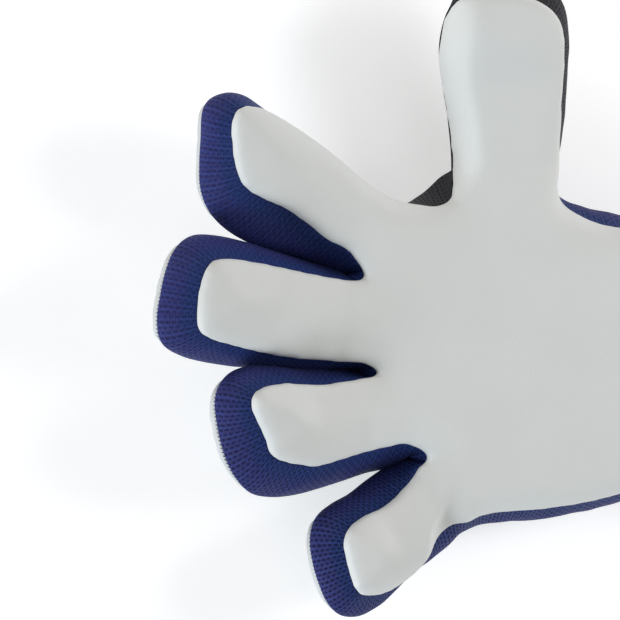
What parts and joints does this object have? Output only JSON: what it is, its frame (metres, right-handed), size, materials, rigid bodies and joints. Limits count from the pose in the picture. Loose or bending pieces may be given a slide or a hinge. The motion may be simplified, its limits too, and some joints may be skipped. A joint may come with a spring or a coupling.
{
  "type": "goalkeeper glove",
  "caption": "Goalkeeper glove for the right hand with latex foam palm and digits, knitted side gussets, elastic cuff, wrist strap and pull loop.",
  "frame": {"origin": "on the flat outer face of the knuckle pad on the back of the hand, under the middle of the hand", "axes": "+Z from the back to the palm, +Y from the wrist to the fingertips, +X towards the thumb"},
  "size_m": [0.2215, 0.2831, 0.0451],
  "materials": {
    "latex": "smooth matt pale grey latex foam",
    "back_foam": "matt light grey foam sheet",
    "lining": "brushed towelling",
    "knit": "navy open air-mesh knit",
    "dark_knit": "black knit",
    "cuff_knit": "navy ribbed elastic knit",
    "strap": "navy coated elastic strap",
    "fastener": "black hook and loop tape",
    "tab": "moulded light grey rubber with finger ridges",
    "webbing": "woven black webbing"
  },
  "bodies": {
    "hand": {"palm_latex": "latex", "palm_lining": "lining", "backhand_panel": "back_foam", "backhand_lining": "lining", "knuckle_pad": "back_foam", "index_middle_crotch_gusset": "knit", "middle_ring_crotch_gusset": "knit", "ring_pinky_crotch_gusset": "knit", "radial_side_gusset": "knit", "thumb_web_gusset": "dark_knit", "ulnar_side_gusset": "knit", "cuff_sleeve": "cuff_knit", "cuff_binding": "dark_knit", "wrist_strap": "strap", "strap_loop_patch": "fastener", "pull_loop_foot": "webbing"},
    "thumb_middle": {"thumb_palm_middle": "latex", "thumb_back_middle": "back_foam", "thumb_radial_gusset": "dark_knit", "thumb_ulnar_gusset": "dark_knit"},
    "thumb_tip": {"thumb_palm_tip": "latex", "thumb_back_tip": "back_foam", "thumb_tip_gusset": "dark_knit"},
    "index_middle": {"index_palm_middle": "latex", "index_back_middle": "back_foam", "index_radial_gusset": "knit", "index_ulnar_gusset": "knit"},
    "index_tip": {"index_palm_tip": "latex", "index_back_tip": "back_foam", "index_tip_gusset": "knit"},
    "middle_middle": {"middle_palm_middle": "latex", "middle_back_middle": "back_foam", "middle_radial_gusset": "knit", "middle_ulnar_gusset": "knit"},
    "middle_tip": {"middle_palm_tip": "latex", "middle_back_tip": "back_foam", "middle_tip_gusset": "knit"},
    "ring_middle": {"ring_palm_middle": "latex", "ring_back_middle": "back_foam", "ring_radial_gusset": "knit", "ring_ulnar_gusset": "knit"},
    "ring_tip": {"ring_palm_tip": "latex", "ring_back_tip": "back_foam", "ring_tip_gusset": "knit"},
    "pinky_middle": {"pinky_palm_middle": "latex", "pinky_back_middle": "back_foam", "pinky_radial_gusset": "knit", "pinky_ulnar_gusset": "knit"},
    "pinky_tip": {"pinky_palm_tip": "latex", "pinky_back_tip": "back_foam", "pinky_tip_gusset": "knit"},
    "flap": {"strap_flap": "strap", "strap_hook_patch": "fastener", "strap_pull_tab": "tab"},
    "loop": {"pull_loop": "webbing"}
  },
  "joints": [
    {"name": "thumb_knuckle_bend", "type": "hinge", "parent": "hand", "child": "thumb_middle", "pos_m": [0.06623, -0.01375, 0.02133], "axis": [0.0698, -0.9976, 0], "range_deg": [-8, 40], "stiffness_Nm_per_rad": 0.25},
    {"name": "thumb_middle_bend", "type": "hinge", "parent": "thumb_middle", "child": "thumb_tip", "pos_m": [0.09495, -0.01118, 0.02742], "axis": [0.0314, -0.9905, 0.134], "range_deg": [-8, 45], "stiffness_Nm_per_rad": 0.2},
    {"name": "index_knuckle_bend", "type": "hinge", "parent": "hand", "child": "index_middle", "pos_m": [0.04611, 0.04477, 0.01983], "axis": [0.8988, -0.4384, 0], "range_deg": [-8, 40], "stiffness_Nm_per_rad": 0.25},
    {"name": "index_middle_bend", "type": "hinge", "parent": "index_middle", "child": "index_tip", "pos_m": [0.05743, 0.06685, 0.02468], "axis": [0.9069, -0.4047, -0.1171], "range_deg": [-8, 45], "stiffness_Nm_per_rad": 0.2},
    {"name": "middle_knuckle_bend", "type": "hinge", "parent": "hand", "child": "middle_middle", "pos_m": [0.01522, 0.05085, 0.01993], "axis": [0.9914, -0.1305, 0], "range_deg": [-8, 40], "stiffness_Nm_per_rad": 0.25},
    {"name": "middle_middle_bend", "type": "hinge", "parent": "middle_middle", "child": "middle_tip", "pos_m": [0.01867, 0.07705, 0.02599], "axis": [0.9914, -0.1305, 0], "range_deg": [-8, 45], "stiffness_Nm_per_rad": 0.2},
    {"name": "ring_knuckle_bend", "type": "hinge", "parent": "hand", "child": "ring_middle", "pos_m": [-0.01999, 0.04243, 0.02144], "axis": [0.9962, 0.0872, 0], "range_deg": [-8, 40], "stiffness_Nm_per_rad": 0.25},
    {"name": "ring_middle_bend", "type": "hinge", "parent": "ring_middle", "child": "ring_tip", "pos_m": [-0.02178, 0.06362, 0.02791], "axis": [0.9955, 0.0937, -0.0161], "range_deg": [-8, 45], "stiffness_Nm_per_rad": 0.2},
    {"name": "pinky_knuckle_bend", "type": "hinge", "parent": "hand", "child": "pinky_middle", "pos_m": [-0.0529, 0.01631, 0.02053], "axis": [0.887, 0.4618, 0], "range_deg": [-8, 40], "stiffness_Nm_per_rad": 0.25},
    {"name": "pinky_middle_bend", "type": "hinge", "parent": "pinky_middle", "child": "pinky_tip", "pos_m": [-0.06232, 0.03364, 0.02539], "axis": [0.8965, 0.4353, 0.0826], "range_deg": [-8, 45], "stiffness_Nm_per_rad": 0.2},
    {"name": "strap_peel", "type": "hinge", "parent": "hand", "child": "flap", "pos_m": [-0.02597, -0.102, 0.02999], "axis": [0, -1, 0], "range_deg": [0, 120]},
    {"name": "pull_loop_swing", "type": "hinge", "parent": "hand", "child": "loop", "pos_m": [0, -0.145, 0.029], "axis": [-1, 0, 0], "range_deg": [-40, 70], "stiffness_Nm_per_rad": 0.01}
  ]
}
